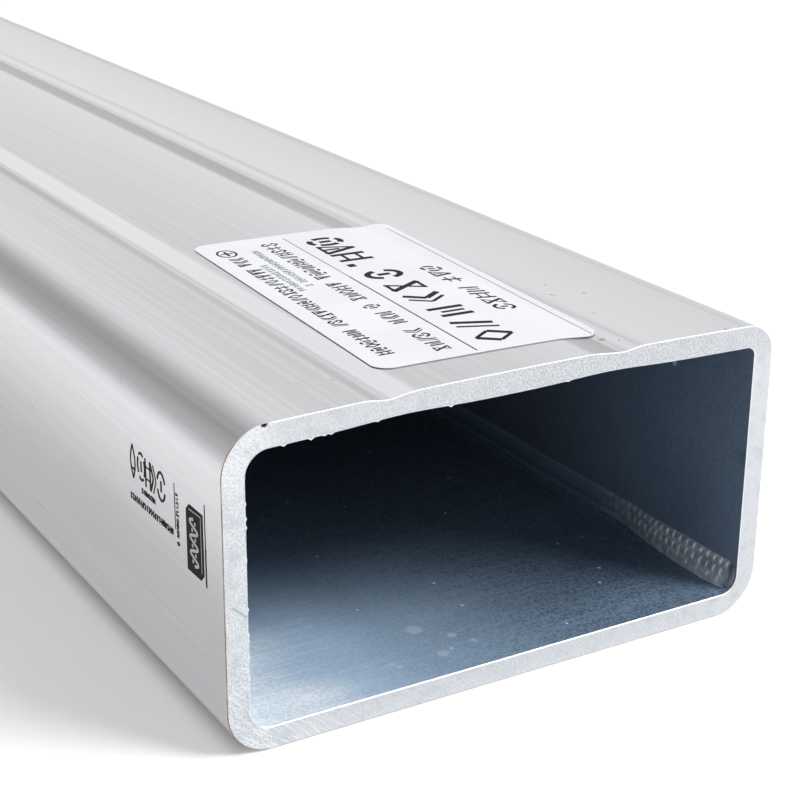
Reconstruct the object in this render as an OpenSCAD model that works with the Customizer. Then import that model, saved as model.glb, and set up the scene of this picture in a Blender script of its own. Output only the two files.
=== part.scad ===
// Rectangular structural steel tube with two rolled grooves in its slightly
// crowned top wall, a weld bead along one inner corner, and a size label stuck
// on near one end. The tube lies along X and rests on its flat underside, with
// Y across and Z up. The origin is the middle of the underside.

/* [Tube] */
// Cut length of the tube
tube_length = 1000; // [300:50:6000]
// Width across the flat sides
tube_width = 100; // [90:1:200]
// Height from the underside to the crest of the top face
tube_height = 52.5; // [40:0.5:120]
// Rise of the slightly crowned top wall from its corners to its crest
top_crown = 0.6; // [0.2:0.1:1.5]
// Wall thickness
wall = 3.8; // [2:0.1:6]
// Bevel filed on the outer edge of the sawn ends
end_bevel = 0.4; // [0.1:0.05:0.6]

/* [Corners] */
// Outer radius, top, left side
outer_top_left = 7.5; // [5:0.5:12]
// Outer radius, top, right side
outer_top_right = 5.5; // [4:0.5:12]
// Outer radius, bottom, right side
outer_low_right = 8; // [5:0.5:12]
// Outer radius, bottom, left side
outer_low_left = 7.5; // [5:0.5:12]
// Inner radius, top, left side
inner_top_left = 4; // [1:0.5:8]
// Inner radius, top, right side
inner_top_right = 1.5; // [1:0.5:8]
// Inner radius, bottom, right side, under the weld
inner_low_right = 3; // [1:0.5:8]
// Inner radius, bottom, left side
inner_low_left = 3.5; // [1:0.5:8]

/* [Top grooves] */
// Width of a groove between its tangent edges
groove_width = 11; // [6:0.5:12]
// Depth of a groove below the top face
groove_depth = 0.6; // [0.2:0.05:0.8]
// Distance of the left groove from the left side
groove_left_inset = 27.5; // [20:0.5:34]
// Distance of the right groove from the right side
groove_right_inset = 33; // [20:0.5:34]

/* [Weld bead] */
// Reach of the bead along each inner wall
bead_leg = 4; // [3:0.25:8]
// Height of the bead's crown over the line between its two edges
bead_crown = 0.6; // [0.3:0.1:1.5]

/* [Label] */
// Length of the label along the tube
label_length = 75; // [40:1:120]
// Width of the label
label_width = 40; // [20:1:50]
// Thickness of the label
label_thickness = 0.15; // [0.1:0.05:0.3]
// Corner radius of the label
label_radius = 3; // [1:0.5:6]
// Gap between the label's nearest corner and the end of the tube
label_end_gap = 8; // [4:1:60]
// Distance of the label's middle from the tube's middle line, to the right
label_offset = 2.5; // [-10:0.5:10]
// Angle that the label is stuck on at, out of line with the tube
label_skew = -2.5; // [-5:0.5:5]

/* [Hidden] */
$fn = 96;
// Steps round the long flat arcs of the crown
crown_steps = 2880;

half_width = tube_width / 2;
inner_half = half_width - wall;
side_top = tube_height - top_crown;
groove_centres = [groove_left_inset - half_width, half_width - groove_right_inset];

// Overlap of a cutting shape past the faces that it cuts
clear = 0.3;

label_x = tube_length / 2 - label_end_gap
    - (label_length * cos(label_skew) + label_width * abs(sin(label_skew))) / 2;

// Corners of an outline, anticlockwise from the top right, each as
// [y, z, radius, angle at which its arc starts]
function outline(half, low, high, r) = [
    [half - r[0], high - r[0], r[0], 0],
    [r[1] - half, high - r[1], r[1], 90],
    [r[2] - half, low + r[2], r[2], 180],
    [half - r[3], low + r[3], r[3], 270]
];

outer_outline = outline(half_width, 0, side_top,
    [outer_top_right, outer_top_left, outer_low_left, outer_low_right]);
inner_outline = outline(inner_half, wall, side_top - wall,
    [inner_top_right, inner_top_left, inner_low_left, inner_low_right]);

function arc_point(corner, angle) =
    [corner[0] + corner[2] * cos(angle), corner[1] + corner[2] * sin(angle)];

// Circle of the crown that spans the top of an outline between its two corner
// arcs, as [y of its centre, z of its centre, radius, half of the span]
function crown_circle(corners) =
    let (
        half_span = (corners[0][0] - corners[1][0]) / 2,
        radius = (half_span * half_span + top_crown * top_crown) / (2 * top_crown)
    )
    [(corners[0][0] + corners[1][0]) / 2,
        corners[0][1] + corners[0][2] + top_crown - radius, radius, half_span];

outer_crown = crown_circle(outer_outline);

// Height and slope of the outer crown at a place across the tube
function crown_height(y) =
    outer_crown[1] + sqrt(pow(outer_crown[2], 2) - pow(y - outer_crown[0], 2));
function crown_slope(y) = -asin((y - outer_crown[0]) / outer_crown[2]);

// Flat region with true arcs at its corners
module rounded(corners) {
    polygon([for (c = corners) for (turn = [0, 90]) arc_point(c, c[3] + turn)]);
    for (c = corners)
        translate([c[0], c[1]]) circle(c[2]);
}

// Rounded outline whose top bulges out in one long arc
module crowned(corners) {
    crown = crown_circle(corners);
    top = crown[1] + crown[2];
    rounded(corners);
    intersection() {
        translate([crown[0], crown[1]]) circle(crown[2], $fn = crown_steps);
        translate([crown[0] - crown[3], top - wall])
            square([2 * crown[3], 2 * wall]);
    }
}

// What a groove takes out of the top face: a hollow arc that runs into the
// flat face through a crest arc of the same radius on either side
module groove_section() {
    half = groove_width / 2;
    radius = (half * half + groove_depth * groove_depth) / (4 * groove_depth);
    difference() {
        polygon([[-half, radius], [-half, 0], [-half / 2, -groove_depth / 2],
            [half / 2, -groove_depth / 2], [half, 0], [half, radius]]);
        for (side = [-1, 1])
            translate([side * half, -radius]) circle(radius);
    }
    translate([0, radius - groove_depth]) circle(radius);
}

// Convex fillet of weld metal across the lower right inner corner
module bead_section() {
    half_chord = bead_leg / sqrt(2);
    radius = (half_chord * half_chord + bead_crown * bead_crown) / (2 * bead_crown);
    depth = (radius - bead_crown - half_chord) / sqrt(2);
    intersection() {
        translate([inner_half + depth, wall - depth]) circle(radius);
        translate([inner_half - bead_leg, wall - clear])
            square(bead_leg + clear);
    }
}

module wall_section() {
    difference() {
        crowned(outer_outline);
        for (y = groove_centres)
            translate([y, crown_height(y)]) rotate(crown_slope(y)) groove_section();
        difference() {
            crowned(inner_outline);
            bead_section();
        }
    }
}

// Stands a flat section up across the tube and runs it along X
module along_tube(length) {
    rotate([90, 0, 90]) linear_extrude(length, center = true) children();
}

// Takes the outer edge off one sawn end, whose face is at z = 0 here: a ring
// segment round each corner, and a straight cut from there to the next one
module end_bevel_cut() {
    last = len(outer_outline) - 1;
    for (i = [0:last]) {
        c = outer_outline[i];
        next = outer_outline[i == last ? 0 : i + 1];
        run = norm([next[0] - c[0], next[1] - c[1]]);
        profile = [
            [c[2] - end_bevel - clear, clear],
            [c[2] + clear, -end_bevel - clear],
            [c[2] + clear, clear]
        ];
        translate([c[0], c[1], 0]) rotate([0, 0, c[3]]) {
            rotate_extrude(angle = 90) polygon(profile);
            rotate([90, 0, 90]) mirror([0, 0, 1]) linear_extrude(run) polygon(profile);
        }
    }
}

module tube() {
    color("#c3c7cb")
    difference() {
        along_tube(tube_length) wall_section();
        for (end = [0, 1])
            mirror([end, 0, 0]) translate([tube_length / 2, 0, 0])
                rotate([90, 0, 90]) end_bevel_cut();
    }
}

// The label lies on the crown and bridges the groove under it
module label() {
    half_l = label_length / 2;
    half_w = label_width / 2;
    r = label_radius;
    color("#f4f6f8")
    intersection() {
        translate([label_x, label_offset, side_top - wall]) rotate([0, 0, label_skew])
            linear_extrude(2 * wall)
                rounded(outline(half_l, -half_w, half_w, [r, r, r, r]));
        along_tube(tube_length) translate([outer_crown[0], outer_crown[1]])
            difference() {
                circle(outer_crown[2] + label_thickness, $fn = crown_steps);
                circle(outer_crown[2], $fn = crown_steps);
            }
    }
}

tube();
label();
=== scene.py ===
# Looks of a length of rectangular steel tube: brushed skin, sawn ends, dark bore with a weld bead,
# a printed sticker on its top face and ink marks on its left side, in a plain pale studio.

import math
import random

import bmesh
import bpy
import numpy as np
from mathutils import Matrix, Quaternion, Vector, noise


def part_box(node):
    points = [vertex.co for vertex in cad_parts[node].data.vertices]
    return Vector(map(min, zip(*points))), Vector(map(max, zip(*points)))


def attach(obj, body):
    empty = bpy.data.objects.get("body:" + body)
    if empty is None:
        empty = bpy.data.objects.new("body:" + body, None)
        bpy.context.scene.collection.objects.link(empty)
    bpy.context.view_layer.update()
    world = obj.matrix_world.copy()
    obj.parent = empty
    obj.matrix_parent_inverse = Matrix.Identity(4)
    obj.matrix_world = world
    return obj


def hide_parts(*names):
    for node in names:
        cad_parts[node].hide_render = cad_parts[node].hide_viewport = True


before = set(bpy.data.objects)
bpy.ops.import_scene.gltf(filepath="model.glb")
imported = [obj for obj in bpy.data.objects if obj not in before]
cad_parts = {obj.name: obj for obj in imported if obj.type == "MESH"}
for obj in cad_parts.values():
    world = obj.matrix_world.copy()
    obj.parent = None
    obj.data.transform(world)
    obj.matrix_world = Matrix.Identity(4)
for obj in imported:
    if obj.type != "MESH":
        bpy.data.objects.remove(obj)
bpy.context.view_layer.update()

# Sizes are in millimetres, as in the CAD part, and MM turns them into metres
MM = 0.001
HALF_LENGTH, HALF_WIDTH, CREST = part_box("tube")[1] / MM

# Section of the tube, with its radii from the top right corner over the top left one to the low right one
WALL = 3.8
TOP_CROWN = 0.6
OUTER_RADII = (5.5, 7.5, 7.5, 8.0)
INNER_RADII = (1.5, 4.0, 3.5, 3.0)
SIDE_TOP = CREST - TOP_CROWN
INNER_HALF = HALF_WIDTH - WALL

# Grooves as rolled creases, each as (bottom, depth, reach of the left flank, reach of the right flank)
GROOVES = ((-23.2, 0.6, 3.5, 4.8), (19.3, 0.6, 6.1, 3.5))
CREASE_SOFTNESS = 0.6

# Places on the inner face of the top wall that rolling has thinned, and how far from the corners they start
THIN_SPOTS = (-20.0, 17.0)
THIN_SPOT_RISE = 0.45
THIN_SPOT_WIDTH = 9.0
THIN_SPOT_EASE = 6.0

# Relief that the CAD part leaves out
INK_THICKNESS = 0.04
SKIN_WAVE = 0.03
OUTER_BEVEL = 0.12
LOW_BEVEL = 0.13
INNER_BEVEL = 0.18
LIP_DEPTH = 0.6 * INNER_BEVEL
BORE_START = 2.5 * INNER_BEVEL
SAWN_RELIEF = 0.03
SAW_MARKS = 0.9

# Burrs on the inner edge of an end: along the top each as (place across, reach), and down the left wall the
# share of places that have one, with the least and the greatest reach
TOP_BURRS = ((-40.1, 0.3), (-35.6, 0.35), (-33.5, 0.2), (-32.2, 0.25), (-24.9, 0.2), (-12.3, 0.3),
             (9.0, 0.15))
SIDE_BURR_SHARE = 0.2
SIDE_BURRS = (0.06, 0.22)

# Scuffs on the skin near the labelled end, each as (along from the end, across, up, reach)
SCUFFS = ((-28.9, 25.7, 52.4, 0.5), (-28.2, 25.9, 52.4, 0.35), (-27.1, 31.3, 52.3, 0.6),
          (-16.9, 25.8, 52.4, 0.4), (-6.4, 19.6, 52.2, 0.9), (-4.2, 21.4, 52.3, 0.4),
          (-34.2, 28.2, 52.4, 0.45), (-61.0, -48.4, 50.4, 0.7), (-55.5, -48.3, 50.4, 0.8),
          (-37.4, -49.6, 48.2, 0.75), (-36.9, -49.8, 47.4, 0.6), (-33.8, -49.7, 48.0, 0.7),
          (-15.5, -39.6, 52.3, 0.35), (-10.3, -26.6, 52.3, 0.35))

# Pale rubs on the floor of the bore near the labelled end, given like the scuffs
RUBS = ((-15.4, -9.1, 3.8, 1.9), (-6.3, -9.0, 3.8, 1.4), (-7.3, -17.9, 3.8, 0.7), (-6.0, -17.4, 3.8, 0.7),
        (-8.6, -21.8, 3.8, 0.5), (-10.8, -4.6, 3.8, 1.1), (-7.5, -2.4, 3.8, 0.9))

# Pit in the outer edge of an end, as its place across the tube and its height
NICK = (-43.0, 51.75)
NICK_DEPTH = 0.5
NICK_REACH = 0.5

# Ends of the crack in the left wall of an end, each as (across, up)
CRACK = ((-48.9, 25.0), (-46.2, 22.6))

# Place where cut lines fan out at the top left corner of an end, and the point that they start from, each
# as (across, up) in metres
FAN = (-0.0475, 0.0490)
FAN_START = (-0.0410, 0.0430)

# Steps of the tube's mesh round its section and along it
CORNER_STEPS = 24
TOP_STEPS = 160
SIDE_STEPS = 80
BOTTOM_STEPS = 80
SKIN_ROWS = 64
BORE_ROWS = 48
FACE_ROWS = 5

# Sticker, placed as in the CAD part, with the share of the groove's depth that it sags by, and the heights
# of its film and its print over its underside
LABEL_LENGTH = 75.0
LABEL_WIDTH = 40.0
LABEL_RADIUS = 3.0
LABEL_END_GAP = 8.0
LABEL_OFFSET = 2.5
LABEL_SKEW = math.radians(-2.5)
LABEL_SAG = 0.75
LABEL_TOP = 0.13
PRINT_TOP = 0.145

# Weld bead: its reach over the floor and up the wall, how far it spreads over the floor near an end, with
# the middle and the width of that stretch, and waves in its edges, each as (reach, length)
BEAD_FLOOR_LEG = 1.0
BEAD_WALL_LEG = 4.9
BEAD_SPREAD = 1.1
BEAD_SPREAD_AT = (9.0, 15.0)
BEAD_WANDER = ((0.12, 6.3), (0.08, 2.9))
BEAD_CROWN = 0.2
BEAD_BURIED = 0.6

# Start of the bead inside an end, the length over which it grows there, and the shares of its two legs at
# its very start
BEAD_START = 0.35
BEAD_NOSE = 1.5
BEAD_NOSE_FLOOR = 0.6
BEAD_NOSE_WALL = 0.8

# Ripples of the bead, which fade out over a stretch, in rows of laps. Each row is given as (place between
# floor and wall, width, height, pitch, shift).
BEAD_PITCH = 1.75
BEAD_RIPPLE = 0.48
BEAD_RIPPLED = (18.0, 46.0)
BEAD_LAPS = ((0.84, 0.1, 1.0, 1.0, 0.0), (0.52, 0.12, 0.85, 1.0, 0.4), (0.24, 0.1, 0.6, 1.4, 0.7))
LAP_BEND = 6
LAP_FRONT = 7
LAP_FALL = 0.8
LAP_ROWS = 12
PLAIN_BEAD_ROWS = 120


def srgb(red, green, blue):
    """Linear colour of an 8-bit display colour."""
    def linear(level):
        share = level / 255
        return share / 12.92 if share <= 0.04045 else ((share + 0.055) / 1.055) ** 2.4
    return (linear(red), linear(green), linear(blue), 1.0)


def add_object(name, data):
    made = bpy.data.objects.new(name, data)
    bpy.context.scene.collection.objects.link(made)
    return made


# Node helpers, which add their nodes to the tree in use

tree = None


def use_tree_of(owner):
    """Turns on the nodes of a material or a world, and puts its tree to use."""
    global tree
    owner.use_nodes = True
    tree = owner.node_tree


def set_inputs(made, inputs):
    """Sets or links inputs of a node."""
    for name, value in inputs.items():
        if isinstance(value, bpy.types.NodeSocket):
            tree.links.new(value, made.inputs[name])
        else:
            made.inputs[name].default_value = value


def node(kind, inputs=None, **settings):
    """Adds a node, sets its properties, and sets or links its inputs."""
    made = tree.nodes.new(kind)
    for name, value in settings.items():
        setattr(made, name, value)
    set_inputs(made, inputs or {})
    return made


def maths(operation, first, second=0.0, clamp=False):
    inputs = {0: first, 1: second}
    return node("ShaderNodeMath", inputs, operation=operation, use_clamp=clamp).outputs[0]


def times(first, second, clamp=False):
    return maths("MULTIPLY", first, second, clamp)


def plus(first, second):
    return maths("ADD", first, second)


def minus(first, second):
    return maths("SUBTRACT", first, second)


def greater(first, second):
    return maths("MAXIMUM", first, second)


def distance(first, second):
    """Length of the diagonal over two sides."""
    return maths("SQRT", plus(times(first, first), times(second, second)))


def fade(value, low, high, to_low=0.0, to_high=1.0):
    """Smooth step from to_low at low to to_high at high."""
    inputs = {"Value": value, "From Min": low, "From Max": high, "To Min": to_low, "To Max": to_high}
    return node("ShaderNodeMapRange", inputs, interpolation_type="SMOOTHSTEP").outputs[0]


def mix(factor, first, second):
    return node("ShaderNodeMix", {0: factor, 6: first, 7: second}, data_type="RGBA").outputs[2]


def tint(colour, mask, share, aim):
    """Colour moved toward another by a share of a mask."""
    return mix(times(mask, share), colour, aim)


def noise_at(place, scale, detail=2.0, roughness=0.5):
    """Noise in object space, in features per metre along each axis."""
    moved = node("ShaderNodeMapping", {"Vector": place, "Scale": scale}).outputs[0]
    inputs = {"Vector": moved, "Scale": 1.0, "Detail": detail, "Roughness": roughness}
    return node("ShaderNodeTexNoise", inputs).outputs["Fac"]


def specks_at(place, scale, radius, share):
    """Small round specks, one in some cells of a grid, as a mask."""
    moved = node("ShaderNodeMapping", {"Vector": place, "Scale": scale}).outputs[0]
    cells = node("ShaderNodeTexVoronoi", {"Vector": moved, "Scale": 1.0})
    chosen = node("ShaderNodeSeparateColor", {0: cells.outputs["Color"]}).outputs[0]
    near = fade(cells.outputs["Distance"], radius, radius * 0.5)
    return times(near, maths("LESS_THAN", chosen, share))


def spots_at(place, spots):
    """Mask of single spots near the labelled end, each as (along, across, up, reach) in millimetres."""
    mask = 0.0
    for along, across, up, reach in spots:
        ends = {0: place, 1: ((HALF_LENGTH + along) * MM, across * MM, up * MM)}
        away = node("ShaderNodeVectorMath", ends, operation="DISTANCE").outputs["Value"]
        mask = greater(fade(away, reach * MM, reach * MM * 0.4), mask)
    return mask


def in_tube(place):
    """Place in the tube in metres: depth from the nearer end, across and up."""
    axes = node("ShaderNodeSeparateXYZ", {0: place}).outputs
    depth = minus(HALF_LENGTH * MM, maths("ABSOLUTE", axes["X"]))
    return depth, axes["Y"], axes["Z"]


def new_material(name):
    """A material, whose tree is put to use, and the position in object space."""
    material = bpy.data.materials.new(name)
    use_tree_of(material)
    return material, node("ShaderNodeTexCoord").outputs["Object"]


def finish_material(material, colour, roughness, metallic=0.0, others=None, height=None, reach=0.0):
    """Sets or links inputs of the material's shader, with a bump over a reach where there is a height."""
    shader = material.node_tree.nodes["Principled BSDF"]
    inputs = {"Base Color": colour, "Roughness": roughness, "Metallic": metallic, **(others or {})}
    if height is not None:
        inputs["Normal"] = node("ShaderNodeBump", {"Height": height, "Distance": reach}).outputs[0]
    set_inputs(shader, inputs)
    return material


# Materials. The places in them are in metres.

def combed():
    """Tangent that spreads reflections across the tube, as lines that run along it do."""
    normal = node("ShaderNodeNewGeometry").outputs["Normal"]
    inputs = {0: normal, 1: (1.0, 0.0, 0.0)}
    return node("ShaderNodeVectorMath", inputs, operation="CROSS_PRODUCT").outputs[0]


def left_flanks(across):
    """Mask of the left flanks of the grooves."""
    mask = 0.0
    for bottom, _, left, _ in GROOVES:
        start = fade(across, (bottom - left - 1.2) * MM, (bottom - left + 1.4) * MM)
        end = fade(across, (bottom + 0.6) * MM, (bottom - 1.4) * MM)
        mask = plus(times(start, end), mask)
    return mask


def skin_material():
    """Satin steel with fine lines along the tube, faint streaks, a few specks and scuffs. Away from the
    ends the grooves' left flanks carry painted shade. The top has a painted highlight at its right
    corner and is duller at both."""
    material, place = new_material("brushed_steel")
    depth, across, up = in_tube(place)
    fine = noise_at(place, (14, 1800, 1800), detail=3)
    streaks = noise_at(place, (3, 260, 260))
    cloud = noise_at(place, (12, 30, 30), detail=3)
    specks = specks_at(place, (90, 160, 160), 0.12, 0.05)
    scratches = specks_at(place, (45, 420, 420), 0.16, 0.03)
    colour = mix(fade(fine, 0.3, 0.7), srgb(220, 220, 224), srgb(228, 228, 231))
    colour = mix(fade(streaks, 0.35, 0.7, 0, 0.18), colour, srgb(212, 212, 217))
    colour = mix(fade(cloud, 0.4, 0.8, 0, 0.25), colour, srgb(233, 232, 232))
    colour = tint(colour, specks, 0.55, srgb(120, 118, 118))
    colour = tint(colour, scratches, 0.3, srgb(150, 150, 155))
    colour = tint(colour, spots_at(place, SCUFFS), 0.5, srgb(96, 93, 92))
    top = fade(up, 0.0425, 0.0465)
    flanks = times(left_flanks(across), top)
    # painted shade: away from the ends the grooves' left flanks are darkened
    painted_groove_shade = times(flanks, fade(depth, 0.05, 0.15, 0.0, 0.4))
    colour = mix(painted_groove_shade, colour, srgb(150, 150, 154))
    # painted highlight: the top's right corner is tinted nearly white
    painted_rim_highlight = times(top, fade(across, 0.0434, 0.0446))
    colour = tint(colour, painted_rim_highlight, 0.85, srgb(250, 250, 253))
    left_corner = fade(across, -0.0405, -0.0430, 0.0, 0.2)
    right_corner = fade(across, 0.0432, 0.0447, 0.0, 0.5)
    dull = times(plus(left_corner, right_corner), top)
    dull = plus(dull, times(flanks, 0.1))
    roughness = plus(fade(fine, 0.2, 0.8, 0.12, 0.17), dull)
    height = plus(times(fine, 0.5), streaks)
    comb = {"Tangent": combed(), "Anisotropic": 0.5}
    return finish_material(material, colour, roughness, 1.0, comb, height, 0.00001)


def near_point(across, up, point, reach):
    """Mask that fades out from a point of an end face."""
    away = distance(minus(across, point[0]), minus(up, point[1]))
    return fade(away, reach, reach * 0.5)


def with_pit(depth, across, up, colour):
    """Colour with the dark pit at the top left corner of an end."""
    near = near_point(across, up, (NICK[0] * MM, NICK[1] * MM), 0.00062)
    pit = times(near, fade(depth, 0.0011, 0.0007))
    return mix(pit, colour, srgb(38, 30, 27))


def crack_at(across, up):
    """Mask of a fine crack that runs down across the left wall of an end."""
    start, end = CRACK
    run = Vector(end) - Vector(start)
    length = run.length
    down = minus(up, start[1] * MM)
    in_wall = minus(across, start[0] * MM)
    reach = plus(times(in_wall, run.x / length), times(down, run.y / length))
    side = plus(times(in_wall, -run.y / length), times(down, run.x / length))
    head = fade(reach, 0.0, 0.0004)
    tail = fade(reach, length * MM, length * MM - 0.0003)
    thin = fade(maths("ABSOLUTE", side), 0.00026, 0.00004)
    return times(times(head, tail), thin)


def sawn_material():
    """Bright sawn steel, gravelly along the top and down the left wall, with painted shade along the top's
    right part and low on the left. Cut lines slant low on the left and fan out in the top left corner."""
    material, place = new_material("sawn_steel")
    depth, across, up = in_tube(place)
    top = fade(up, 0.0455, 0.0485)
    left = fade(across, -0.041, -0.045)
    low_left = times(fade(up, 0.022, 0.008), fade(across, -0.02, -0.04))
    grain = noise_at(place, (3200, 3200, 3200), detail=4, roughness=0.75)
    patch = noise_at(place, (380, 380, 380), detail=3)
    slant = {"Vector": place, "Rotation": (math.radians(40), 0, 0)}
    cuts = noise_at(node("ShaderNodeMapping", slant).outputs[0], (200, 260, 2600))
    turn = maths("ARCTAN2", minus(up, FAN_START[1]), minus(across, FAN_START[0]))
    rays = node("ShaderNodeTexNoise", {"W": times(turn, 26.0), "Detail": 1.0},
                noise_dimensions="1D").outputs["Fac"]
    fan = times(near_point(across, up, FAN, 0.0085), fade(rays, 0.5, 0.66))
    # painted shade on the dark grains: most along the top's right part and low on the left, least on the
    # right wall
    painted_shade = plus(fade(across, 0.036, 0.044, 0.3, 0.1),
                 times(top, fade(across, -0.032, 0.005, 0.0, 0.5)))
    painted_shade = plus(painted_shade, times(left, fade(up, 0.022, 0.008, 0.1, 0.5)))
    dark = mix(painted_shade, srgb(206, 210, 214), srgb(164, 169, 174))
    light = mix(left, srgb(219, 222, 226), srgb(230, 234, 238))
    colour = mix(fade(grain, 0.36, 0.58), dark, light)
    colour = mix(fade(patch, 0.45, 0.75, 0, 0.6), colour, srgb(192, 197, 203))
    cut = times(fade(cuts, 0.46, 0.7), plus(0.2, low_left))
    colour = tint(colour, cut, 0.55, srgb(240, 243, 247))
    colour = mix(fan, colour, srgb(250, 251, 253))
    colour = tint(colour, crack_at(across, up), 0.5, srgb(140, 146, 154))
    colour = with_pit(depth, across, up, colour)
    gravel = times(grain, greater(plus(0.3, top), left))
    height = plus(gravel, times(cuts, plus(0.3, low_left)))
    roughness = fade(grain, 0.3, 0.7, 0.45, 0.6)
    return finish_material(material, colour, roughness, 1.0, None, height, 0.00009)


def edge_material():
    """Bare filed edge, bright on top and rust brown down the left side and underneath."""
    material, place = new_material("filed_edge")
    depth, across, up = in_tube(place)
    rusty = greater(fade(across, -0.0455, -0.0490), fade(up, 0.0020, 0.0006))
    blotch = fade(noise_at(place, (220, 220, 220), detail=3), 0.3, 0.62, 0.6, 1.0)
    colour = mix(times(rusty, blotch), srgb(222, 223, 226), srgb(164, 134, 114))
    colour = with_pit(depth, across, up, colour)
    roughness = fade(blotch, 0.6, 1.0, 0.66, 0.72)
    return finish_material(material, colour, roughness, 1.0)


def lip_material():
    """Bright bare edge round the opening."""
    material, place = new_material("bare_lip")
    cloud = noise_at(place, (500, 500, 500))
    colour = mix(fade(cloud, 0.3, 0.7), srgb(226, 231, 238), srgb(246, 248, 252))
    roughness = fade(cloud, 0.3, 0.7, 0.38, 0.46)
    return finish_material(material, colour, roughness, 1.0)


def painted_floor_light_mask(depth, across, up, cloud):
    """Mask of painted light on the bore's floor: near the ends, most of all to the left, and less in a
    band a little way in, as painted shade."""
    low = fade(up, 0.014, 0.004)
    side = plus(fade(across, 0.03, -0.03, 0.02, 0.38), fade(across, -0.012, -0.048, 0.0, 0.78))
    near = plus(fade(depth, 0.09, 0.0), times(cloud, 0.12))
    # painted shade: a band a little way in takes back part of the painted light
    band = times(fade(depth, 0.005, 0.011), fade(depth, 0.026, 0.015))
    band = times(band, fade(across, -0.012, -0.034, 0.0, 0.2))
    near = times(near, minus(1.0, band))
    return times(times(near, low), side, clamp=True)


def bore_material():
    """Blue-grey rolled scale, greyer deep inside, with fine lines across its floor. The floor has painted
    light near the ends and painted shade to the right of that, and has specks and dust on it."""
    material, place = new_material("bore_scale")
    depth, across, up = in_tube(place)
    floor = fade(up, 0.0075, 0.0045)
    cloud = noise_at(place, (60, 45, 45), detail=3)
    strokes = noise_at(place, (1300, 50, 50), detail=3)
    grain = noise_at(place, (3000, 2000, 2000), roughness=0.6)
    smudges = noise_at(place, (150, 120, 120))
    specks = specks_at(place, (150, 150, 150), 0.11, 0.06)
    dust = specks_at(place, (420, 420, 420), 0.16, 0.1)
    painted_floor_light = painted_floor_light_mask(depth, across, up, cloud)
    lines = times(fade(strokes, 0.32, 0.68), floor)
    scale = mix(lines, srgb(74, 92, 112), srgb(94, 116, 140))
    colour = mix(floor, srgb(106, 124, 144), scale)
    colour = mix(fade(cloud, 0.4, 0.7, 0, 0.3), colour, srgb(80, 97, 116))
    colour = mix(fade(smudges, 0.66, 0.78, 0, 0.3), colour, srgb(62, 76, 92))
    colour = mix(fade(depth, 0.022, 0.07, 0, 0.65), colour, srgb(96, 100, 107))
    mottle = times(fade(grain, 0.35, 0.65), plus(0.4, floor), clamp=True)
    colour = tint(colour, mottle, 0.26, srgb(186, 216, 244))
    # painted shade: the floor's right part a little way in is darkened
    painted_floor_shade = times(fade(depth, 0.002, 0.017), fade(depth, 0.05, 0.028, 0.4, 1.0))
    painted_floor_shade = times(times(painted_floor_shade, floor), fade(across, -0.024, 0.012))
    colour = tint(colour, painted_floor_shade, 0.4, srgb(24, 32, 42))
    # painted light: near the ends the floor is tinted pale blue and then nearly white
    colour = mix(fade(painted_floor_light, 0.0, 0.6), colour, srgb(182, 207, 230))
    colour = mix(fade(painted_floor_light, 0.55, 0.98), colour, srgb(240, 249, 255))
    frost = times(fade(grain, 0.56, 0.44), fade(painted_floor_light, 0.05, 0.4, 0.0, 0.25))
    colour = mix(frost, colour, srgb(120, 152, 184))
    lines_in_painted_light = times(lines, fade(painted_floor_light, 0, 0.4, 0, 0.16))
    colour = mix(lines_in_painted_light, colour, srgb(104, 136, 168))
    colour = tint(colour, spots_at(place, RUBS), 0.28, srgb(226, 236, 246))
    colour = mix(greater(specks, times(dust, floor)), colour, srgb(205, 216, 226))
    metal = times(minus(1.0, painted_floor_light), 0.3, clamp=True)
    roughness = fade(grain, 0.2, 0.8, 0.45, 0.6)
    matt = {"Specular IOR Level": 0.4}
    return finish_material(material, colour, roughness, metal, matt, times(strokes, floor), 0.000014)


def bead_material():
    """Weld metal, a little brighter and smoother than the scale round it, with painted light near its ends
    and along its edges, and painted shade on its nose."""
    material, place = new_material("weld_metal")
    depth, _, up = in_tube(place)
    cloud = noise_at(place, (450, 900, 900), detail=3)
    toe = greater(fade(up, 0.0060, 0.0052), fade(up, 0.0078, 0.0084))
    colour = mix(fade(cloud, 0.3, 0.7), srgb(66, 80, 97), srgb(78, 93, 111))
    colour = mix(fade(up, 0.0052, 0.0070), colour, srgb(106, 123, 143))
    # painted light: the bead's edges by the floor and the wall are tinted paler
    colour = tint(colour, toe, 0.4, srgb(140, 160, 182))
    # painted light: near the ends the bead is tinted pale, fading with depth
    pale = mix(fade(cloud, 0.35, 0.65), srgb(176, 185, 196), srgb(222, 228, 234))
    colour = mix(fade(depth, 0.045, 0.010, 0.0, 0.85), colour, pale)
    # painted light: near the ends the bead's edges are tinted paler still
    painted_toe_light = times(toe, fade(depth, 0.02, 0.004, 0.0, 0.4))
    colour = mix(painted_toe_light, colour, srgb(226, 233, 240))
    # painted shade: the bead's nose is darkened
    colour = mix(fade(depth, 0.0024, 0.0010, 0.0, 0.9), colour, srgb(60, 70, 82))
    metal = fade(depth, 0.02, 0.05, 0.35, 0.1)
    roughness = fade(cloud, 0.3, 0.7, 0.36, 0.46)
    return finish_material(material, colour, roughness, metal)


def label_material():
    """Smooth white printed film."""
    material, place = new_material("label_film")
    cloud = noise_at(place, (60, 60, 60), detail=3)
    fibre = noise_at(place, (900, 900, 900))
    colour = mix(fade(cloud, 0.3, 0.7), srgb(231, 232, 238), srgb(237, 238, 243))
    roughness = fade(fibre, 0.3, 0.7, 0.38, 0.46)
    coat = {"Coat Weight": 0.15, "Coat Roughness": 0.25}
    return finish_material(material, colour, roughness, 0.0, coat, cloud, 0.00004)


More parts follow.
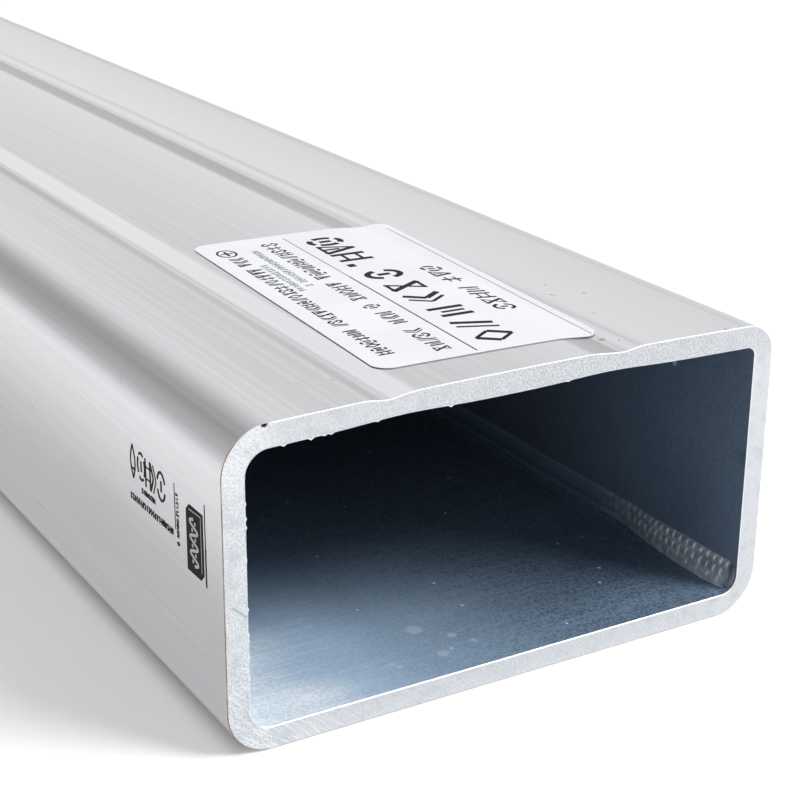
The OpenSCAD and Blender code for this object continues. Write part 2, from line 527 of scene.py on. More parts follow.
def label_edge_shade_material():
    """Cut edge of the film, in grey as painted shade along the sticker's rim."""
    material, place = new_material("label_edge")
    cloud = noise_at(place, (400, 400, 400))
    # painted shade: the film's cut edge is mid grey
    colour = mix(cloud, srgb(138, 134, 136), srgb(168, 163, 164))
    roughness = fade(cloud, 0.3, 0.7, 0.6, 0.8)
    return finish_material(material, colour, roughness)


def ink_material(name, dark, light, gaps=0.0):
    """Matt printed ink, a little worn where gaps is above 0."""
    material, place = new_material(name)
    cloud = noise_at(place, (700, 700, 700), detail=3)
    colour = mix(fade(cloud, 0.5 - gaps, 0.9 - gaps), dark, light)
    roughness = fade(cloud, 0.3, 0.7, 0.5, 0.62)
    return finish_material(material, colour, roughness, 0.0, {"Specular IOR Level": 0.08})


# Outline of the section

def arc(centre, radius, start, end, steps=CORNER_STEPS):
    """Points of an arc and their normals, which point away from its centre. Angles are in degrees."""
    angles = np.radians(np.linspace(start, end, steps + 1))
    normals = np.stack([np.cos(angles), np.sin(angles)], axis=1)
    return np.array(centre) + radius * normals, normals


def crown(y, left, right, side_top):
    """Height of the long flat arc that spans the top between two corners."""
    half_span = (right - left) / 2
    radius = (half_span ** 2 + TOP_CROWN ** 2) / (2 * TOP_CROWN)
    return side_top + TOP_CROWN - radius + np.sqrt(radius ** 2 - (y - (left + right) / 2) ** 2)


def outer_crown(y):
    """Height of the top face at a place across the tube, as if it had no grooves."""
    return crown(np.asarray(y, float), OUTER_RADII[1] - HALF_WIDTH, HALF_WIDTH - OUTER_RADII[0], SIDE_TOP)


def groove_profile():
    """Places across the tube and the depth of the grooves there: two flanks of even slope, eased into each
    other and into the face."""
    step = 0.05
    places = np.arange(-HALF_WIDTH, HALF_WIDTH + step, step)
    depth = np.zeros_like(places)
    for bottom, deepest, left, right in GROOVES:
        away = np.where(places < bottom, (bottom - places) / left, (places - bottom) / right)
        depth += deepest * np.clip(1 - away, 0, None)
    spread = np.arange(-4 * CREASE_SOFTNESS, 4 * CREASE_SOFTNESS + step, step)
    weights = np.exp(-(spread / CREASE_SOFTNESS) ** 2 / 2)
    return places, np.convolve(depth, weights / weights.sum(), mode="same")


GROOVE_PROFILE = groove_profile()


def groove_depth(y):
    """Depth of the grooves at a place across the tube."""
    return np.interp(y, *GROOVE_PROFILE)


def thin_spots(y):
    """Rise of the top wall's inner face where rolling has thinned it under the grooves."""
    return sum(THIN_SPOT_RISE * np.exp(-((y - spot) / THIN_SPOT_WIDTH) ** 2) for spot in THIN_SPOTS)


def straight(start, end, steps, normal):
    """Points strictly between two corners, with the same normal."""
    shares = np.linspace(0, 1, steps + 1)[1:-1, None]
    points = np.array(start) * (1 - shares) + np.array(end) * shares
    return points, np.repeat([normal], len(points), axis=0).astype(float)


def curved(start_y, end_y, height):
    """Points strictly between two corners along the top, and their upward normals."""
    y = np.linspace(start_y, end_y, TOP_STEPS + 1)[1:-1]
    reach = 0.01
    slope = (height(y + reach) - height(y - reach)) / (2 * reach)
    normals = np.stack([-slope, np.ones_like(y)], axis=1)
    normals /= np.linalg.norm(normals, axis=1)[:, None]
    return np.stack([y, height(y)], axis=1), normals


def section_loop(half, low, high, radii, height):
    """Anticlockwise loop of a rounded section from the right side's top, with outward normals."""
    top_right, top_left, low_left, low_right = radii
    pieces = [
        arc((half - top_right, high - top_right), top_right, 0, 90),
        curved(half - top_right, top_left - half, height),
        arc((top_left - half, high - top_left), top_left, 90, 180),
        straight((-half, high - top_left), (-half, low + low_left), SIDE_STEPS, (-1, 0)),
        arc((low_left - half, low + low_left), low_left, 180, 270),
        straight((low_left - half, low), (half - low_right, low), BOTTOM_STEPS, (0, -1)),
        arc((half - low_right, low + low_right), low_right, 270, 360),
        straight((half, low + low_right), (half, high - top_right), SIDE_STEPS, (1, 0)),
    ]
    return np.concatenate([p for p, _ in pieces]), np.concatenate([n for _, n in pieces])


def outer_height(y):
    return outer_crown(y) - groove_depth(np.asarray(y, float))


def inner_height(y):
    left = INNER_RADII[1] - INNER_HALF
    right = INNER_HALF - INNER_RADII[0]
    edge = np.clip(np.minimum(y - left, right - y) / THIN_SPOT_EASE, 0, 1)
    return crown(np.asarray(y, float), left, right, SIDE_TOP - WALL) + thin_spots(y) * edge


# Tube

def skin_wave(x, points):
    """Inward displacement of the skin, never outward, so that it stays in the CAD box."""
    y, z = points[:, 0], points[:, 1]
    wave = np.sin(x / 31 + y / 17) + np.sin(x / 57 - z / 11 + 1) + np.sin(x / 19 + y / 29 + z / 23)
    return SKIN_WAVE * (3 + wave) / 6


def burrs(points, normals, seed):
    """How far the saw's burr stands into the bore at each point of the inner edge."""
    rng = random.Random(seed)
    reach = np.zeros(len(points))
    top = np.flatnonzero(normals[:, 1] > 0.7)
    for place, size in TOP_BURRS:
        nearest = top[np.argmin(np.abs(points[top, 0] - place))]
        reach[nearest] = size
    for index in np.flatnonzero(normals[:, 0] < -0.9):
        if rng.random() < SIDE_BURR_SHARE:
            reach[index] = rng.uniform(*SIDE_BURRS)
    return reach


def nick(points):
    """Depth of the small pit in the outer edge at the top left corner."""
    away = (points[:, 0] - NICK[0]) ** 2 + (points[:, 1] - NICK[1]) ** 2
    return NICK_DEPTH * np.exp(-away / NICK_REACH ** 2)


def outer_bevel(normals):
    """Width of the bevel on the outer edge, which differs a little between the top and the rest."""
    share = np.clip((normals[:, 1] - 0.2) / 0.6, 0, 1)
    return LOW_BEVEL + (OUTER_BEVEL - LOW_BEVEL) * share


def ring_at(points, x):
    """A loop of the section stood up across the tube at x, which may differ from point to point."""
    xs = np.broadcast_to(x, len(points))
    return np.column_stack([xs, points])


def face_relief(points, seed):
    """Saw marks on an end face, as depth below it."""
    depths = [0.5 + noise.noise(Vector((y * SAW_MARKS, z * SAW_MARKS, seed))) for y, z in points]
    return SAWN_RELIEF * np.clip(depths, 0, 1)


def end_rings(outer, outer_normals, inner, inner_normals, side, seed):
    """Rings and their materials from the skin over one sawn end into the bore."""
    bevel = outer_bevel(outer_normals)
    face_outer = outer - bevel[:, None] * outer_normals
    face_inner = inner + INNER_BEVEL * inner_normals
    face_inner -= (burrs(inner, inner_normals, seed) * 0.6)[:, None] * inner_normals
    lip = inner - burrs(inner, inner_normals, seed)[:, None] * inner_normals
    pit = nick(outer)
    rings = [(ring_at(outer, side * (HALF_LENGTH - bevel)), "edge")]
    rings.append((ring_at(face_outer, side * (HALF_LENGTH - pit)), "sawn"))
    for row in range(1, FACE_ROWS + 1):
        share = row / (FACE_ROWS + 1)
        points = face_outer * (1 - share) + face_inner * share
        depth = face_relief(points, seed) + pit * max(0, 1 - 4 * share)
        rings.append((ring_at(points, side * (HALF_LENGTH - depth)), "sawn"))
    rings.append((ring_at(face_inner, side * HALF_LENGTH), "lip"))
    rings.append((ring_at(lip, side * (HALF_LENGTH - LIP_DEPTH)), "bore"))
    rings.append((ring_at(inner, side * (HALF_LENGTH - BORE_START)), "bore"))
    return rings


def tube_rings():
    """Closed run of rings along the skin, over the labelled end, back through the bore and over the plain
    end."""
    skin_half = HALF_WIDTH - INK_THICKNESS
    outer, outer_normals = section_loop(skin_half, 0, SIDE_TOP, OUTER_RADII, outer_height)
    inner, inner_normals = section_loop(INNER_HALF, WALL, SIDE_TOP - WALL, INNER_RADII, inner_height)
    skin_end = HALF_LENGTH - OUTER_BEVEL
    bore_end = HALF_LENGTH - BORE_START
    skin = []
    for x in np.linspace(-skin_end, skin_end, SKIN_ROWS)[1:-1]:
        waved = outer - skin_wave(x, outer)[:, None] * outer_normals
        waved[:, 1] = np.maximum(waved[:, 1], 0)
        skin.append((ring_at(waved, x), "skin"))
    near = end_rings(outer, outer_normals, inner, inner_normals, 1, 3)
    far = end_rings(outer, outer_normals, inner, inner_normals, -1, 8)
    bore = [(ring_at(inner, x), "bore") for x in np.linspace(bore_end, -bore_end, BORE_ROWS)[1:-1]]
    back = [(far[0][0], "skin")]
    for index in range(1, len(far)):
        back.insert(0, (far[index][0], far[index - 1][1]))
    return skin + near + bore + back


def mesh_object(name, vertices, faces, materials, face_materials, sharp_angle=30):
    """A smooth mesh in metres from vertices in millimetres, with its normals turned outward."""
    mesh = bpy.data.meshes.new(name)
    mesh.from_pydata((np.asarray(vertices) * MM).tolist(), [], faces)
    for material in materials:
        mesh.materials.append(material)
    mesh.polygons.foreach_set("material_index", face_materials)
    work = bmesh.new()
    work.from_mesh(mesh)
    bmesh.ops.recalc_face_normals(work, faces=work.faces)
    work.to_mesh(mesh)
    work.free()
    mesh.shade_smooth()
    mesh.set_sharp_from_angle(angle=math.radians(sharp_angle))
    return add_object(name, mesh)


def ring_faces(rings, around, closed_rings):
    """Quads between one ring of points and the next."""
    faces = []
    last = rings if closed_rings else rings - 1
    for row in range(last):
        here = row * around
        there = ((row + 1) % rings) * around
        for column in range(around):
            beside = (column + 1) % around
            faces.append((here + column, here + beside, there + beside, there + column))
    return faces


def make_tube():
    rings = tube_rings()
    around = len(rings[0][0])
    order = ("skin", "edge", "sawn", "lip", "bore")
    materials = (skin_material(), edge_material(), sawn_material(), lip_material(), bore_material())
    faces = ring_faces(len(rings), around, True)
    bands = [order.index(band) for _, band in rings for _ in range(around)]
    tube = mesh_object("steel_tube", np.concatenate([r for r, _ in rings]), faces, materials, bands)
    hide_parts("tube")
    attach(tube, "root")


# Weld bead

def bead_laps(into, share):
    """Height of the ripples at a depth into the tube and a share of the way from the floor to the wall.
    The steep front of each lap faces the end."""
    tall = 0.0
    for middle, width, part, pitch, shift in BEAD_LAPS:
        bend = LAP_BEND * (share - middle) ** 2
        phase = into / (BEAD_PITCH * pitch) + shift + bend + 0.2 * math.sin(into / 3.7 + shift)
        lap = phase - math.floor(phase)
        front = min(1, lap * LAP_FRONT)
        tall += part * front * (1 - lap) ** LAP_FALL * math.exp(-((share - middle) / width) ** 2)
    return tall


def bead_ring(x, steps=14):
    """Section of the bead at x: a low crown over the corner, closed behind inside the wall. Near the ends
    it spreads over the floor and is stacked in ripples, which stand highest beside the wall."""
    into = HALF_LENGTH - BEAD_START - abs(x)
    grow = min(1.0, math.sqrt(max(0.0, into) / BEAD_NOSE))
    rippled = 1 - min(1.0, max(0.0, (into - BEAD_RIPPLED[0]) / (BEAD_RIPPLED[1] - BEAD_RIPPLED[0])))
    wander = sum(reach * math.sin(x / length) for reach, length in BEAD_WANDER)
    spread = BEAD_SPREAD * math.exp(-((into - BEAD_SPREAD_AT[0]) / BEAD_SPREAD_AT[1]) ** 2)
    floor_leg = (BEAD_FLOOR_LEG + spread + wander) * (BEAD_NOSE_FLOOR + (1 - BEAD_NOSE_FLOOR) * grow)
    wall_leg = (BEAD_WALL_LEG - wander) * (BEAD_NOSE_WALL + (1 - BEAD_NOSE_WALL) * grow)
    points = []
    for share in [index / steps for index in range(steps + 1)]:
        crowned = BEAD_CROWN * 4 * share * (1 - share)
        inside = min(1.0, 6 * share, 14 * (1 - share))
        height = (crowned + BEAD_RIPPLE * rippled * bead_laps(into, share) * inside) * grow
        y = INNER_HALF - floor_leg * (1 - share) - height / math.sqrt(2)
        z = WALL + wall_leg * share + height / math.sqrt(2)
        points.append((x, y, z))
    points.append((x, INNER_HALF + BEAD_BURIED, WALL + wall_leg))
    points.append((x, INNER_HALF + BEAD_BURIED, WALL - BEAD_BURIED))
    points.append((x, INNER_HALF - floor_leg, WALL - BEAD_BURIED))
    return points


def make_bead():
    """Bead along the lower right inner corner, with close rows where it is rippled."""
    reach = HALF_LENGTH - BEAD_START
    fine = np.arange(0, BEAD_RIPPLED[1], BEAD_PITCH / LAP_ROWS)
    plain = np.linspace(BEAD_RIPPLED[1], 2 * reach - BEAD_RIPPLED[1], PLAIN_BEAD_ROWS)
    rings = [bead_ring(reach - into) for into in [*fine, *plain, *(2 * reach - fine[::-1])]]
    rows = len(rings)
    around = len(rings[0])
    faces = ring_faces(rows, around, False)
    faces.append(tuple(range(around)))
    faces.append(tuple((rows - 1) * around + index for index in range(around)))
    vertices = np.array(rings).reshape(-1, 3)
    bead = mesh_object("weld_bead", vertices, faces, [bead_material()], [0] * len(faces), 60)
    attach(bead, "root")


# Sticker

def on_label(along, across, height):
    """Point on the sticker: along from its far end, across from its left edge and up from its underside."""
    a = along - LABEL_LENGTH / 2
    b = across - LABEL_WIDTH / 2
    reach = LABEL_LENGTH * math.cos(LABEL_SKEW) + LABEL_WIDTH * abs(math.sin(LABEL_SKEW))
    middle = HALF_LENGTH - LABEL_END_GAP - reach / 2
    x = middle + a * math.cos(LABEL_SKEW) - b * math.sin(LABEL_SKEW)
    y = LABEL_OFFSET + a * math.sin(LABEL_SKEW) + b * math.cos(LABEL_SKEW)
    return (x, y, float(outer_crown(y) - LABEL_SAG * groove_depth(y)) + height)


def label_half_length(across):
    """Half of the sticker's length at a place across it, less at its rounded corners."""
    over = abs(across - LABEL_WIDTH / 2) - (LABEL_WIDTH / 2 - LABEL_RADIUS)
    if over <= 0:
        return LABEL_LENGTH / 2
    return LABEL_LENGTH / 2 - LABEL_RADIUS + math.sqrt(max(0.0, LABEL_RADIUS ** 2 - over ** 2))


def make_label():
    columns = 24
    corner_rows = 8
    middle_rows = 90
    turns = [math.pi / 2 * index / corner_rows for index in range(corner_rows)]
    corner = [LABEL_RADIUS * (1 - math.cos(turn)) for turn in turns]
    middle = np.linspace(LABEL_RADIUS, LABEL_WIDTH - LABEL_RADIUS, middle_rows).tolist()
    rows = corner + middle + [LABEL_WIDTH - across for across in reversed(corner)]
    vertices = []
    for height in (LABEL_TOP, 0.0):
        for across in rows:
            half = label_half_length(across)
            for along in np.linspace(-half, half, columns):
                vertices.append(on_label(LABEL_LENGTH / 2 + along, across, height))
    layer = len(rows) * columns
    faces = []
    for row in range(len(rows) - 1):
        for column in range(columns - 1):
            first = row * columns + column
            quad = (first, first + 1, first + columns + 1, first + columns)
            faces.append(quad)
            faces.append(tuple(layer + index for index in reversed(quad)))
    flat_faces = len(faces)
    rim = list(range(columns))
    rim += [row * columns + columns - 1 for row in range(1, len(rows))]
    rim += [layer - 1 - column for column in range(1, columns)]
    rim += [row * columns for row in range(len(rows) - 2, 0, -1)]
    for index, here in enumerate(rim):
        there = rim[(index + 1) % len(rim)]
        faces.append((here, there, layer + there, layer + here))
    slots = [0] * flat_faces + [1] * len(rim)
    label = mesh_object("sticker", vertices, faces, [label_material(), label_edge_shade_material()], slots)
    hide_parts("label")
    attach(label, "root")


# Flat marks

class Marks:
    """Gathers thin slabs of ink into one mesh, on a surface that place(u, v, height) describes."""

    def __init__(self, place, low, high, step=100.0):
        self.place = place
        self.low = low
        self.high = high
        self.step = step
        self.vertices = []
        self.faces = []

    def band(self, one_side, other_side, closed=False):
        """Slab between two lines of as many points each."""
        count = len(one_side)
        start = len(self.vertices)
        for height in (self.high, self.low):
            for line in (one_side, other_side):
                self.vertices += [self.place(u, v, height) for u, v in line]
        pairs = [(i, (i + 1) % count) for i in range(count if closed else count - 1)]
        for i, j in pairs:
            for quad in ((i, j, count + j, count + i),
                         (2 * count + i, 3 * count + i, 3 * count + j, 2 * count + j),
                         (i, 2 * count + i, 2 * count + j, j),
                         (count + i, count + j, 3 * count + j, 3 * count + i)):
                self.faces.append(tuple(start + index for index in quad))
        if not closed:
            for i in (0, count - 1):
                self.faces.append(tuple(start + k * count + i for k in (0, 1, 3, 2)))

    def path(self, points, width):
        """Stroke of one width along a line of points, split up into steps."""
        given = [Vector(point) for point in points]
        points = [given[0]]
        for start, end in zip(given, given[1:]):
            count = max(1, math.ceil((end - start).length / self.step))
            points += [start + (end - start) * i / count for i in range(1, count + 1)]
        sides = []
        for index in range(len(points)):
            ahead = points[min(index + 1, len(points) - 1)] - points[max(index - 1, 0)]
            sides.append(Vector((-ahead.y, ahead.x)).normalized() * width / 2)
        self.band([tuple(point + side) for point, side in zip(points, sides)],
                  [tuple(point - side) for point, side in zip(points, sides)])

    def stroke(self, start, end, width):
        """Straight stroke from start to end."""
        self.path([start, end], width)

    def ring(self, centre, half_width, half_height, width, steps=20):
        """Oval ring of one width."""
        angles = [math.radians(360 * i / steps) for i in range(steps)]
        lines = []
        for grow in (width / 2, -width / 2):
            lines.append([(centre[0] + (half_width + grow) * math.cos(a),
                           centre[1] + (half_height + grow) * math.sin(a)) for a in angles])
        self.band(*lines, closed=True)

    def finish(self, name, material):
        made = mesh_object(name, self.vertices, self.faces, [material], [0] * len(self.faces))
        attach(made, "root")


# Strokes of each abstract sign in a unit box, as (start across, start up, end across, end up, weight)
STROKES = {
    "ladder": ((0.1, 0, 0.1, 1, 1), (0.9, 0, 0.9, 1, 1), (0.1, 0.3, 0.9, 0.3, 0.55),
               (0.1, 0.72, 0.9, 0.72, 0.55)),
    "arrows": ((0, 1, 0.5, 0.5, 1), (0.5, 0.5, 0, 0, 1), (0.45, 1, 0.95, 0.5, 0.6),
               (0.95, 0.5, 0.45, 0, 0.6)),
    "diamond": ((0.5, 0, 1, 0.5, 1), (1, 0.5, 0.5, 1, 0.6), (0.5, 1, 0, 0.5, 1), (0, 0.5, 0.5, 0, 0.6)),
    "rods": ((0.1, 0, 0.1, 1, 1), (0.5, 0.25, 0.5, 0.9, 0.7), (0.9, 0.1, 0.9, 1, 1)),
    "glass": ((0.1, 0, 0.9, 1, 0.6), (0.1, 1, 0.9, 0, 1), (0.1, 0.05, 0.9, 0.05, 0.6),
              (0.1, 0.95, 0.9, 0.95, 0.6)),
    "tent": ((0, 0, 0.5, 1, 0.6), (0.5, 1, 1, 0, 1), (0.5, 0, 0.5, 0.55, 0.7), (0, 0.05, 1, 0.05, 0.6)),
    "crossed": ((0.5, 0, 0.5, 1, 1), (0, 0.3, 1, 0.3, 0.6), (0, 0.75, 1, 0.75, 0.6)),
    "slants": ((0, 0, 0.5, 1, 1), (0.45, 0, 0.95, 1, 0.6)),
    "dot": ((0.15, 0.1, 0.5, 0.1, 1.3),),
}

# Arcs of the signs that have them, as (start, end) in degrees, round the middle of the box
ARCS = {"eye": ((20, 160), (200, 340)), "shells": ((55, 125), (145, 215), (235, 305), (-35, 35))}

# Signs that the rows of small ones draw from
SIGNS = ("ladder", "shells", "arrows", "rods", "tent", "glass", "diamond", "eye", "crossed", "slants")


def flat(u, v):
    return (u, v)


def upright(u, v):
    """Turns a row so that it climbs the side."""
    return (v, u)


def sign(marks, kind, u, v, width, height, line, turn=flat):
    """One abstract sign in a box whose low left corner is at (u, v). A row of them spells nothing."""
    def at(across, up):
        return turn(u + across * width, v + up * height)
    for left, low, right, high, weight in STROKES.get(kind, ()):
        marks.stroke(at(left, low), at(right, high), line * weight)
    for start, end in ARCS.get(kind, ()):
        turns = [math.radians(start + (end - start) * i / 10) for i in range(11)]
        marks.path([at(0.5 + 0.46 * math.cos(a), 0.5 + 0.46 * math.sin(a)) for a in turns], line)
    if kind in ARCS:
        marks.stroke(at(0.5, 0.32), at(0.5, 0.68), line)


def row_of_signs(marks, start, end, base, height, pitch, line, seed, gaps, turn=flat):
    """Row of small signs from start to end along u, standing on base, with a share of them left out."""
    rng = random.Random(seed)
    u = start
    while u + pitch <= end:
        if rng.random() > gaps:
            width = pitch * rng.uniform(0.62, 0.84)
            rise = height * rng.uniform(0.85, 1.0)
            sign(marks, rng.choice(SIGNS), u, base, width, rise, line, turn)
        u += pitch


def make_print():
    """Rules and rows of abstract signs on the sticker, in two inks."""
    dark = Marks(on_label, LABEL_TOP - 0.01, PRINT_TOP, 0.5)
    dark.stroke((30, 17.6), (74, 17.6), 0.26)
    big = (("shells", 5.5), ("tent", 10.8), ("ladder", 16.6), ("dot", 22.6), ("eye", 29.0), ("glass", 37.0),
           ("arrows", 44.5), ("rods", 52.5), ("slants", 60.5), ("diamond", 66.5))
    for kind, along in big:
        sign(dark, kind, along, 20.4, 4.8, 6.6, 1.15)
    second = (("shells", 29.8), ("tent", 33.4), ("crossed", 37.2), ("rods", 44.0), ("ladder", 47.8),
              ("glass", 51.4), ("eye", 54.8))
    for kind, along in second:
        sign(dark, kind, along, 31.3, 3.0, 3.9, 0.62)
    row_of_signs(dark, 4.6, 58.5, 11.9, 3.2, 2.3, 0.44, 11, 0.05)
    row_of_signs(dark, 60.5, 73.5, 11.9, 3.2, 2.3, 0.44, 12, 0)
    row_of_signs(dark, 10.8, 73, 3.1, 2.8, 1.9, 0.42, 13, 0.04)
    dark.ring((7.3, 4.2), 2.2, 1.7, 0.4)
    dark.stroke((5.9, 4.2), (8.7, 4.2), 0.5)
    dark.stroke((7.3, 3.0), (7.3, 5.4), 0.4)
    ink = ink_material("label_ink", srgb(30, 32, 38), srgb(50, 52, 58))
    dark.finish("sticker_print", ink)
    pale = Marks(on_label, LABEL_TOP - 0.01, PRINT_TOP, 0.5)
    pale.stroke((2.5, 17.6), (30, 17.6), 0.2)
    pale.stroke((4, 38.7), (74, 38.7), 0.14)
    row_of_signs(pale, 8, 33, 8.6, 1.5, 1.15, 0.24, 14, 0.05)
    row_of_signs(pale, 17, 35, 6.4, 1.4, 1.15, 0.24, 15, 0.05)
    grey_ink = ink_material("label_grey_ink", srgb(122, 126, 140), srgb(150, 154, 166))
    pale.finish("sticker_small_print", grey_ink)


def on_side(along, up, height):
    """Point on the left side: along from the labelled end, up from the floor, height over the skin."""
    return (HALF_LENGTH + along, -HALF_WIDTH + INK_THICKNESS - height, up)


# Dark plate among the marks, as its left, right, low and high edge, and the cut of its corners
PLATE = (-12.3, -6.5, 26.2, 37.0)
PLATE_CUT = 1.1

# Wavy line on the plate: its width, its start over the low edge, its steps and how many make a turn
WAVE_WIDTH = 1.35
WAVE_START = 1.4
WAVE_STEP = 0.157
WAVE_STEPS = 16


def make_side_marks():
    """Ink marks stamped on the left side near the labelled end."""
    ink = Marks(on_side, -0.02, INK_THICKNESS - 0.005)
    for bulge in (0.85, -0.85):
        bow = [(-32.0 + bulge * math.sin(math.pi * i / 12), 33.4 + 5.6 * i / 12) for i in range(13)]
        ink.path(bow, 0.34)
    ink.stroke((-32.9, 35.0), (-31.1, 35.0), 0.3)
    big = (("shells", -30.2, 34.0, 2.9, 4.8), ("ladder", -27.3, 33.7, 2.2, 4.7),
           ("arrows", -25.2, 33.7, 2.2, 4.6), ("eye", -22.8, 33.4, 3.1, 5.0))
    for kind, along, base, width, height in big:
        sign(ink, kind, along, base, width, height, 0.42)
    row_of_signs(ink, -28.9, -23.0, 32.0, 0.95, 0.66, 0.13, 21, 0)
    row_of_signs(ink, -33.5, -16.4, 29.5, 1.2, 0.78, 0.15, 22, 0.04)
    row_of_signs(ink, 28.6, 37.8, -15.9, 0.9, 0.66, 0.13, 23, 0.04, upright)
    ink.stroke((-16.35, 31.0), (-16.35, 38.4), 0.1)
    ink.path([(-5.8, 25.8), (-5.8, 32.0)], 0.34)
    ink.path([(-5.8, 32.0), (-5.8, 38.9)], 0.2)
    left, right, low, high = PLATE
    edge = [(left, low), (left, high - PLATE_CUT), (left + PLATE_CUT, high)]
    other = [(right - PLATE_CUT, low), (right, low + PLATE_CUT), (right, high)]
    ink.band(edge, other)
    ink.finish("side_marks", ink_material("side_ink", srgb(22, 21, 23), srgb(44, 42, 44), 0.08))
    pale = Marks(on_side, 0.0, INK_THICKNESS)
    pale.stroke((right - 0.7, low + 1.3), (right - 0.7, high - 0.6), 0.17)
    pale.stroke((left + 1.1, high - 0.75), (right - 0.6, high - 0.6), 0.17)
    middle = (left + right - 0.6) / 2
    start = low + WAVE_START
    pale.path([(middle + WAVE_WIDTH * math.sin(2 * math.pi * i / WAVE_STEPS), start + i * WAVE_STEP)
               for i in range(3 * WAVE_STEPS + 1)], 0.5)
    for index in range(6):
        across = middle + (0.5 if index % 2 else -0.5)
        up = start + (index + 0.5) * WAVE_STEPS / 2 * WAVE_STEP
        pale.stroke((across, up - 0.28), (across, up + 0.28), 0.5)
    bare = ink_material("side_bare", srgb(196, 196, 198), srgb(220, 220, 222))
    pale.finish("side_marks_gaps", bare)


# Studio, in metres

# Floor: its reach, its drop under the tube, its colour, its glow beside the tube and what far floor adds
FLOOR_HALF = 4.0
FLOOR_DROP = 0.00002
FLOOR_COLOUR = 0.8
FLOOR_LIFT = 0.225
FAR_FLOOR_LIFT = 0.4

# Level of the studio on matt surfaces
AMBIENT = 0.545

# Key lamp, which shines on the labelled end: its direction over the floor, rise, distance, size and power
KEY_AIM = (0.71, 0.70)
KEY_RISE = math.radians(45)
KEY_DISTANCE = 4.0
KEY_SIZE = 1.75
KEY_POWER = 140.0

# Brightness of the studio in the steel, as (angle round the X axis in degrees, level)
STRIPS = ((2, 1.0), (9, 0.4), (18, 0.38), (23, 1.0), (27, 0.98), (33, 0.78), (36, 0.76), (44, 0.8),
          (48, 1.1), (52, 1.1), (57, 0.76), (74, 0.6), (88, 0.46), (104, 0.38), (118, 0.37), (150, 0.5),
          (180, 0.6))

# The photograph's viewpoint, fitted to the tube's end and long edges: its turn from -Y toward +X, its rise
# and roll, its place in millimetres from the middle of the labelled end's lowest line, and its lens
CAMERA_TURN = math.radians(59.18)
CAMERA_RISE = math.radians(20.67)
CAMERA_ROLL = math.radians(0.457)
CAMERA_PLACE = (207.68, -145.11, 142.62)
CAMERA_LENS = 80.571


def make_camera():
    level = math.cos(CAMERA_RISE)
    back = Vector((math.sin(CAMERA_TURN) * level, -math.cos(CAMERA_TURN) * level, math.sin(CAMERA_RISE)))
    data = bpy.data.cameras.new("camera")
    data.lens = CAMERA_LENS
    data.sensor_width = 36
    data.clip_start = 0.01
    camera = add_object("camera", data)
    camera.location = Vector((HALF_LENGTH + CAMERA_PLACE[0], *CAMERA_PLACE[1:])) * MM
    camera.rotation_mode = "QUATERNION"
    camera.rotation_quaternion = (-back).to_track_quat("-Z", "Y") @ Quaternion((0, 0, 1), CAMERA_ROLL)
    bpy.context.scene.camera = camera


def grey(level):
    return (level, level, level, 1)


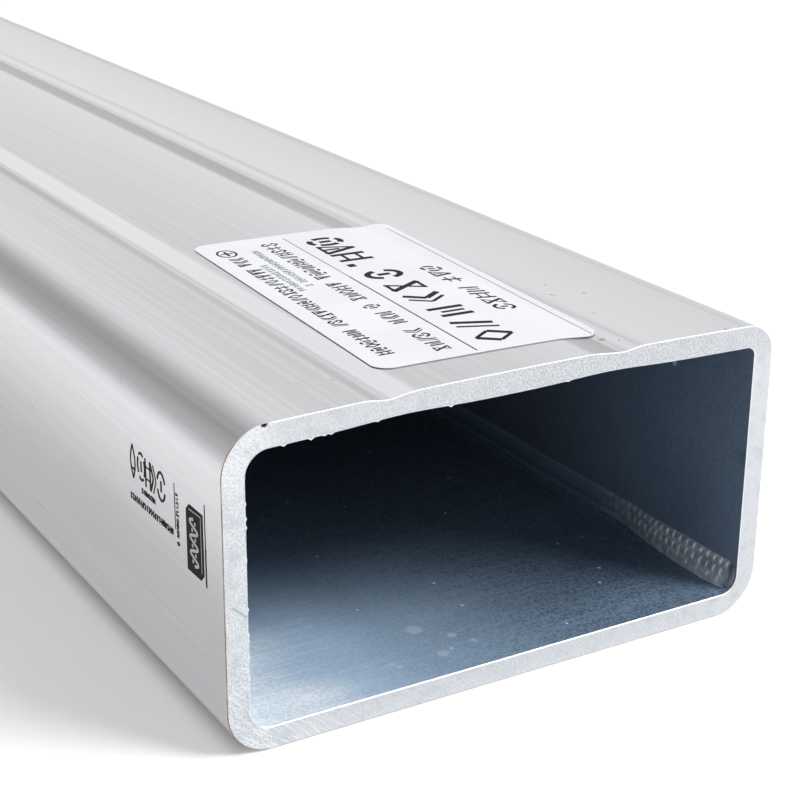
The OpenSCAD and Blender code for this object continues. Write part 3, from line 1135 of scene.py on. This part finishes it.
def make_floor():
    """White floor that keeps the tube's shadow. Only camera, glossy and transmission rays see its glow,
    which is left out under and just beside the tube as a painted contact shadow, and grows away from it."""
    mesh = bpy.data.meshes.new("floor")
    signs = ((-1, -1), (1, -1), (1, 1), (-1, 1))
    mesh.from_pydata([(x * FLOOR_HALF, y * FLOOR_HALF, -FLOOR_DROP) for x, y in signs], [], [(0, 1, 2, 3)])
    floor = add_object("floor", mesh)
    material, place = new_material("floor")
    tree.nodes.remove(tree.nodes["Principled BSDF"])
    depth, across, _ = in_tube(place)
    past_end = minus(0.0, depth)
    away = distance(greater(past_end, 0.0), across)
    far = fade(away, 0.15, 0.8, FLOOR_LIFT, FLOOR_LIFT + FAR_FLOOR_LIFT)
    beside = minus(maths("ABSOLUTE", across), HALF_WIDTH * MM)
    # painted shadow: the glow fades out under the tube and just beside it
    clear_of_painted_contact_shadow = greater(fade(beside, -0.0045, 0.0008), fade(past_end, -0.004, 0.002))
    rays = node("ShaderNodeLightPath").outputs
    shown = greater(rays["Is Camera Ray"], greater(rays["Is Glossy Ray"], rays["Is Transmission Ray"]))
    lift = times(times(shown, far), clear_of_painted_contact_shadow)
    glow = node("ShaderNodeEmission", {"Color": grey(1), "Strength": lift})
    matt = node("ShaderNodeBsdfDiffuse", {"Color": grey(FLOOR_COLOUR)})
    both = node("ShaderNodeAddShader", {0: matt.outputs[0], 1: glow.outputs[0]})
    set_inputs(tree.nodes["Material Output"], {"Surface": both.outputs[0]})
    mesh.materials.append(material)


def make_world():
    """Soft pale studio: white to the camera, with long dimmer and brighter strips beside the tube for the
    steel to reflect. A strip lies at an angle round the X axis, from +Y over the top to -Y."""
    world = bpy.data.worlds.new("studio")
    bpy.context.scene.world = world
    use_tree_of(world)
    tree.nodes.clear()
    direction = node("ShaderNodeTexCoord").outputs["Generated"]
    axes = node("ShaderNodeSeparateXYZ", {0: direction}).outputs
    angle = maths("ARCTAN2", axes["Z"], axes["Y"])
    level = STRIPS[0][1]
    for (start, before), (end, after) in zip(STRIPS, STRIPS[1:]):
        level = plus(level, fade(angle, math.radians(start), math.radians(end), 0.0, after - before))
    rays = node("ShaderNodeLightPath").outputs
    seen = mix(rays["Is Glossy Ray"], grey(AMBIENT), level)
    shown = greater(rays["Is Camera Ray"], rays["Is Transmission Ray"])
    seen = mix(shown, seen, grey(1))
    sky = node("ShaderNodeBackground", {"Color": seen, "Strength": 1.0})
    node("ShaderNodeOutputWorld", {"Surface": sky.outputs[0]})


def area_light(name, place, aim, size, power):
    data = bpy.data.lights.new(name, "AREA")
    data.shape = "DISK"
    data.size = size
    data.energy = power
    lamp = add_object(name, data)
    lamp.location = place
    lamp.rotation_mode = "QUATERNION"
    lamp.rotation_quaternion = (Vector(aim) - Vector(place)).to_track_quat("-Z", "Y")
    lamp.visible_camera = False


def make_lights():
    near_end = (HALF_LENGTH * MM, 0, 0.03)
    aim = Vector((*KEY_AIM, 0)).normalized() * math.cos(KEY_RISE) + Vector((0, 0, math.sin(KEY_RISE)))
    area_light("key", Vector(near_end) + aim * KEY_DISTANCE, near_end, KEY_SIZE, KEY_POWER)


make_camera()
make_world()
make_floor()
make_lights()
make_tube()
make_bead()
make_label()
make_print()
make_side_marks()

bpy.context.scene.view_settings.view_transform = "Standard"
